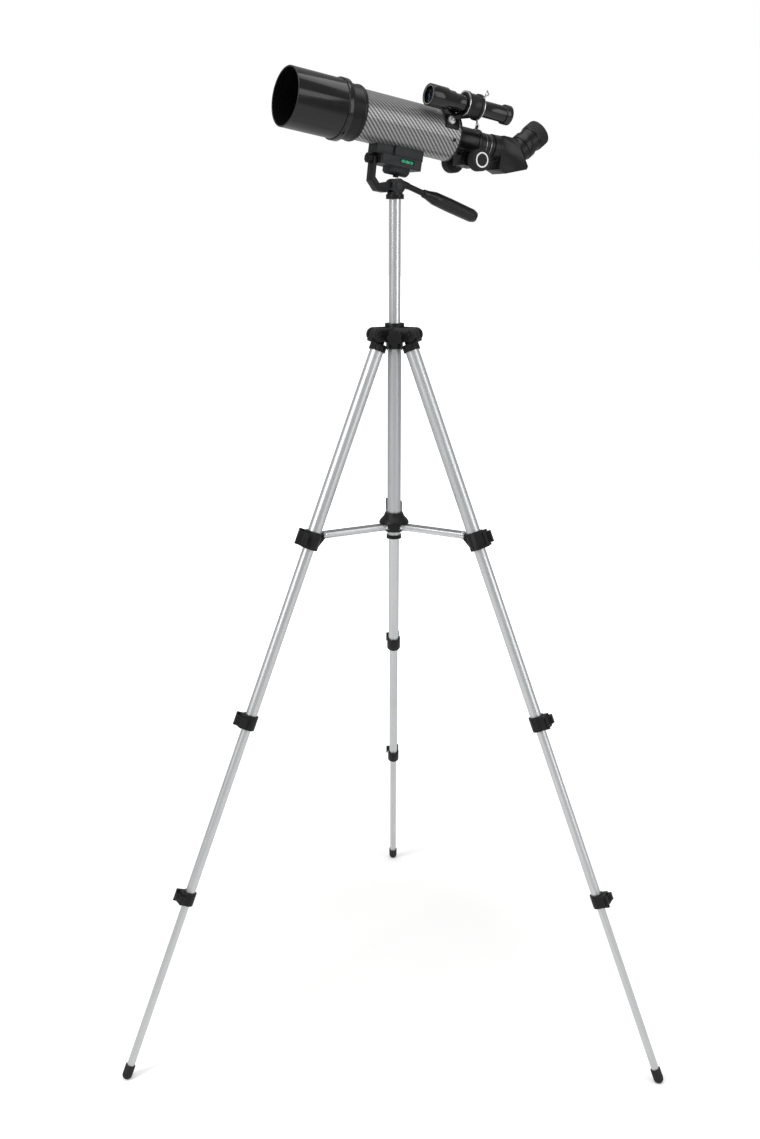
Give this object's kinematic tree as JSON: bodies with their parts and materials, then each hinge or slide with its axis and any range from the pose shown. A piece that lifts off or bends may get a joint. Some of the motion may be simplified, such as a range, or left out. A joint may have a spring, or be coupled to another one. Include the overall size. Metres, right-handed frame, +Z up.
{
  "type": "telescope on tripod",
  "caption": "Small refracting telescope with finder, diagonal and eyepiece on a pan and tilt head, on a three-legged aluminium tripod with telescoping legs, braces and a sliding column.",
  "frame": {"origin": "on the floor under the middle of the footprint of the three open feet", "axes": "+Z up, -Y towards the two front legs, the telescope's front towards -X and -Y"},
  "size_m": [0.7648, 0.6642, 1.3579],
  "materials": {
    "black_plastic": "fine moulded texture",
    "grey_plastic": "satin moulded",
    "grip_plastic": "semi-gloss moulded",
    "anodised_aluminium": "satin anodised",
    "column_aluminium": "bright anodised",
    "foot_rubber": "moulded rubber",
    "twill_tube": "woven twill wrap under clear coat",
    "gloss_black": "gloss black",
    "satin_black_metal": "satin black",
    "coated_glass": "coated optical glass",
    "knob_rubber": "ribbed rubber"
  },
  "bodies": {
    "tripod_top": {"canopy": "black_plastic", "guide_tube": "anodised_aluminium"},
    "column_knob": {"column_lock_knob": "black_plastic"},
    "brace_hub": {"brace_hub": "black_plastic"},
    "column": {"center_column": "column_aluminium"},
    "pan_ring": {"pan_lock_ring": "black_plastic"},
    "pan_head": {"head_base": "grey_plastic"},
    "tilt_arm": {"yoke": "black_plastic"},
    "handle": {"handle_shaft": "black_plastic", "handle_grip": "grip_plastic"},
    "side_knob": {"side_lock_knob": "black_plastic"},
    "telescope": {"tilt_platform": "grey_plastic", "mount_block": "grey_plastic", "dew_shield": "gloss_black", "lens_cell": "satin_black_metal", "objective_lens": "coated_glass", "main_tube": "twill_tube", "focuser_housing": "satin_black_metal", "finder_bracket": "satin_black_metal", "finder_tube": "gloss_black"},
    "focus_tube": {"drawtube": "satin_black_metal"},
    "focus_knobs": {"focus_knobs": "knob_rubber"},
    "diagonal": {"diagonal": "black_plastic"},
    "eyepiece": {"eyepiece": "satin_black_metal"},
    "leg_1_upper": {"leg_1_fitting": "black_plastic", "leg_1_tube_1": "anodised_aluminium"},
    "leg_1_brace": {"leg_1_brace": "anodised_aluminium"},
    "leg_1_section_2": {"leg_1_tube_2": "anodised_aluminium", "leg_1_collar_2": "black_plastic"},
    "leg_1_section_3": {"leg_1_tube_3": "anodised_aluminium", "leg_1_collar_3": "black_plastic"},
    "leg_1_section_4": {"leg_1_tube_4": "anodised_aluminium", "leg_1_foot": "foot_rubber"},
    "leg_1_lever_1": {"leg_1_lever_1": "black_plastic"},
    "leg_1_lever_2": {"leg_1_lever_2": "black_plastic"},
    "leg_1_lever_3": {"leg_1_lever_3": "black_plastic"},
    "leg_2_upper": {"leg_2_fitting": "black_plastic", "leg_2_tube_1": "anodised_aluminium"},
    "leg_2_brace": {"leg_2_brace": "anodised_aluminium"},
    "leg_2_section_2": {"leg_2_tube_2": "anodised_aluminium", "leg_2_collar_2": "black_plastic"},
    "leg_2_section_3": {"leg_2_tube_3": "anodised_aluminium", "leg_2_collar_3": "black_plastic"},
    "leg_2_section_4": {"leg_2_tube_4": "anodised_aluminium", "leg_2_foot": "foot_rubber"},
    "leg_2_lever_1": {"leg_2_lever_1": "black_plastic"},
    "leg_2_lever_2": {"leg_2_lever_2": "black_plastic"},
    "leg_2_lever_3": {"leg_2_lever_3": "black_plastic"},
    "leg_3_upper": {"leg_3_fitting": "black_plastic", "leg_3_tube_1": "anodised_aluminium"},
    "leg_3_brace": {"leg_3_brace": "anodised_aluminium"},
    "leg_3_section_2": {"leg_3_tube_2": "anodised_aluminium", "leg_3_collar_2": "black_plastic"},
    "leg_3_section_3": {"leg_3_tube_3": "anodised_aluminium", "leg_3_collar_3": "black_plastic"},
    "leg_3_section_4": {"leg_3_tube_4": "anodised_aluminium", "leg_3_foot": "foot_rubber"},
    "leg_3_lever_1": {"leg_3_lever_1": "black_plastic"},
    "leg_3_lever_2": {"leg_3_lever_2": "black_plastic"},
    "leg_3_lever_3": {"leg_3_lever_3": "black_plastic"}
  },
  "joints": [
    {"name": "leg_1_fold", "type": "hinge", "parent": "tripod_top", "child": "leg_1_upper", "pos_m": [-0.02468, -0.12262, 1.024], "axis": [0.5, -0.866, 0], "range_deg": [0, 18]},
    {"name": "leg_1_brace_hinge", "type": "hinge", "parent": "leg_1_upper", "child": "leg_1_brace", "pos_m": [-0.09554, -0.16353, 0.75492], "axis": [0.5, -0.866, 0], "range_deg": [0, 66.81]},
    {"name": "leg_1_slide_1", "type": "slide", "parent": "leg_1_upper", "child": "leg_1_section_2", "axis": [0.3267, 0.1886, 0.9261], "range_m": [0, 0.236]},
    {"name": "leg_1_lever_1_flip", "type": "hinge", "parent": "leg_1_upper", "child": "leg_1_lever_1", "pos_m": [-0.13148, -0.1762, 0.75625], "axis": [-0.3267, -0.1886, -0.9261], "range_deg": [0, 100]},
    {"name": "leg_1_slide_2", "type": "slide", "parent": "leg_1_section_2", "child": "leg_1_section_3", "axis": [0.3267, 0.1886, 0.9261], "range_m": [0, 0.236]},
    {"name": "leg_1_lever_2_flip", "type": "hinge", "parent": "leg_1_section_2", "child": "leg_1_lever_2", "pos_m": [-0.218, -0.22615, 0.50832], "axis": [-0.3267, -0.1886, -0.9261], "range_deg": [0, 100]},
    {"name": "leg_1_slide_3", "type": "slide", "parent": "leg_1_section_3", "child": "leg_1_section_4", "axis": [0.3267, 0.1886, 0.9261], "range_m": [0, 0.236]},
    {"name": "leg_1_lever_3_flip", "type": "hinge", "parent": "leg_1_section_3", "child": "leg_1_lever_3", "pos_m": [-0.3036, -0.27557, 0.26298], "axis": [-0.3267, -0.1886, -0.9261], "range_deg": [0, 100]},
    {"name": "leg_2_fold", "type": "hinge", "parent": "tripod_top", "child": "leg_2_upper", "pos_m": [0.02468, -0.12262, 1.024], "axis": [0.5, 0.866, 0], "range_deg": [0, 18]},
    {"name": "leg_2_brace_hinge", "type": "hinge", "parent": "leg_2_upper", "child": "leg_2_brace", "pos_m": [0.09554, -0.16353, 0.75492], "axis": [0.5, 0.866, 0], "range_deg": [0, 66.81]},
    {"name": "leg_2_slide_1", "type": "slide", "parent": "leg_2_upper", "child": "leg_2_section_2", "axis": [-0.3267, 0.1886, 0.9261], "range_m": [0, 0.236]},
    {"name": "leg_2_lever_1_flip", "type": "hinge", "parent": "leg_2_upper", "child": "leg_2_lever_1", "pos_m": [0.12448, -0.18832, 0.75625], "axis": [0.3267, -0.1886, -0.9261], "range_deg": [0, 100]},
    {"name": "leg_2_slide_2", "type": "slide", "parent": "leg_2_section_2", "child": "leg_2_section_3", "axis": [-0.3267, 0.1886, 0.9261], "range_m": [0, 0.236]},
    {"name": "leg_2_lever_2_flip", "type": "hinge", "parent": "leg_2_section_2", "child": "leg_2_lever_2", "pos_m": [0.211, -0.23827, 0.50832], "axis": [0.3267, -0.1886, -0.9261], "range_deg": [0, 100]},
    {"name": "leg_2_slide_3", "type": "slide", "parent": "leg_2_section_3", "child": "leg_2_section_4", "axis": [-0.3267, 0.1886, 0.9261], "range_m": [0, 0.236]},
    {"name": "leg_2_lever_3_flip", "type": "hinge", "parent": "leg_2_section_3", "child": "leg_2_lever_3", "pos_m": [0.2966, -0.28769, 0.26298], "axis": [0.3267, -0.1886, -0.9261], "range_deg": [0, 100]},
    {"name": "leg_3_fold", "type": "hinge", "parent": "tripod_top", "child": "leg_3_upper", "pos_m": [0, -0.07987, 1.024], "axis": [-1, 0, 0], "range_deg": [0, 18]},
    {"name": "leg_3_brace_hinge", "type": "hinge", "parent": "leg_3_upper", "child": "leg_3_brace", "pos_m": [0, 0.00195, 0.75492], "axis": [-1, 0, 0], "range_deg": [0, 66.81]},
    {"name": "leg_3_slide_1", "type": "slide", "parent": "leg_3_upper", "child": "leg_3_section_2", "axis": [0, -0.3772, 0.9261], "range_m": [0, 0.236]},
    {"name": "leg_3_lever_1_flip", "type": "hinge", "parent": "leg_3_upper", "child": "leg_3_lever_1", "pos_m": [0.007, 0.03941, 0.75625], "axis": [0, 0.3772, -0.9261], "range_deg": [0, 100]},
    {"name": "leg_3_slide_2", "type": "slide", "parent": "leg_3_section_2", "child": "leg_3_section_3", "axis": [0, -0.3772, 0.9261], "range_m": [0, 0.236]},
    {"name": "leg_3_lever_2_flip", "type": "hinge", "parent": "leg_3_section_2", "child": "leg_3_lever_2", "pos_m": [0.007, 0.13931, 0.50832], "axis": [0, 0.3772, -0.9261], "range_deg": [0, 100]},
    {"name": "leg_3_slide_3", "type": "slide", "parent": "leg_3_section_3", "child": "leg_3_section_4", "axis": [0, -0.3772, 0.9261], "range_m": [0, 0.236]},
    {"name": "leg_3_lever_3_flip", "type": "hinge", "parent": "leg_3_section_3", "child": "leg_3_lever_3", "pos_m": [0.007, 0.23815, 0.26298], "axis": [0, 0.3772, -0.9261], "range_deg": [0, 100]},
    {"name": "brace_hub_slide", "type": "slide", "parent": "tripod_top", "child": "brace_hub", "axis": [0, 0, 1], "range_m": [0, 0.08331]},
    {"name": "column_knob_turn", "type": "hinge", "parent": "tripod_top", "child": "column_knob", "pos_m": [0, -0.10837, 1.021], "axis": [0, -1, 0], "range_deg": [-180, 0]},
    {"name": "column_slide", "type": "slide", "parent": "tripod_top", "child": "column", "axis": [0, 0, 1], "range_m": [-0.155, 0]},
    {"name": "pan_ring_turn", "type": "hinge", "parent": "column", "child": "pan_ring", "pos_m": [0, -0.10837, 1.2068], "axis": [0, 0, 1], "range_deg": [-90, 0]},
    {"name": "pan", "type": "hinge", "parent": "column", "child": "pan_head", "pos_m": [0, -0.10837, 1.2068], "axis": [0, 0, 1], "continuous": true},
    {"name": "tilt", "type": "hinge", "parent": "pan_head", "child": "tilt_arm", "pos_m": [0, -0.10837, 1.217], "axis": [-0.5225, 0.8526, 0], "range_deg": [-17, 26]},
    {"name": "handle_twist", "type": "hinge", "parent": "tilt_arm", "child": "handle", "pos_m": [0.01807, -0.0973, 1.21685], "axis": [-0.8027, -0.4919, 0.3371], "range_deg": [0, 180]},
    {"name": "side_tilt", "type": "hinge", "parent": "tilt_arm", "child": "telescope", "pos_m": [-0.02817, -0.12563, 1.25072], "axis": [-0.8417, -0.5158, 0.1599], "range_deg": [0, 90]},
    {"name": "side_knob_turn", "type": "hinge", "parent": "tilt_arm", "child": "side_knob", "pos_m": [-0.03406, -0.12924, 1.25183], "axis": [-0.8417, -0.5158, 0.1599], "range_deg": [-90, 0]},
    {"name": "focus_slide", "type": "slide", "parent": "telescope", "child": "focus_tube", "axis": [0.8417, 0.5158, -0.1599], "range_m": [-0.02, 0.03]},
    {"name": "focus_knob_spin", "type": "hinge", "parent": "telescope", "child": "focus_knobs", "pos_m": [0.09631, -0.04935, 1.25138], "axis": [0.5225, -0.8526, 0], "range_deg": [-161.9, 242.6]},
    {"name": "diagonal_turn", "type": "hinge", "parent": "focus_tube", "child": "diagonal", "pos_m": [0.14102, -0.02195, 1.26872], "axis": [-0.8417, -0.5158, 0.1599], "range_deg": [-90, 90]},
    {"name": "eyepiece_slide", "type": "slide", "parent": "diagonal", "child": "eyepiece", "axis": [0.6915, 0.4238, 0.585], "range_m": [0, 0.018]}
  ],
  "couplings": [
    {"joint": "leg_1_brace_hinge", "follows": "leg_1_fold", "ratio": 3.7118},
    {"joint": "leg_2_brace_hinge", "follows": "leg_1_fold", "ratio": 3.7118},
    {"joint": "leg_2_fold", "follows": "leg_1_fold", "ratio": 1},
    {"joint": "leg_3_brace_hinge", "follows": "leg_1_fold", "ratio": 3.7118},
    {"joint": "leg_3_fold", "follows": "leg_1_fold", "ratio": 1},
    {"joint": "brace_hub_slide", "follows": "leg_1_fold", "m_per_rad": 0.26519},
    {"joint": "focus_knob_spin", "follows": "focus_slide", "rad_per_m": 140.85}
  ]
}
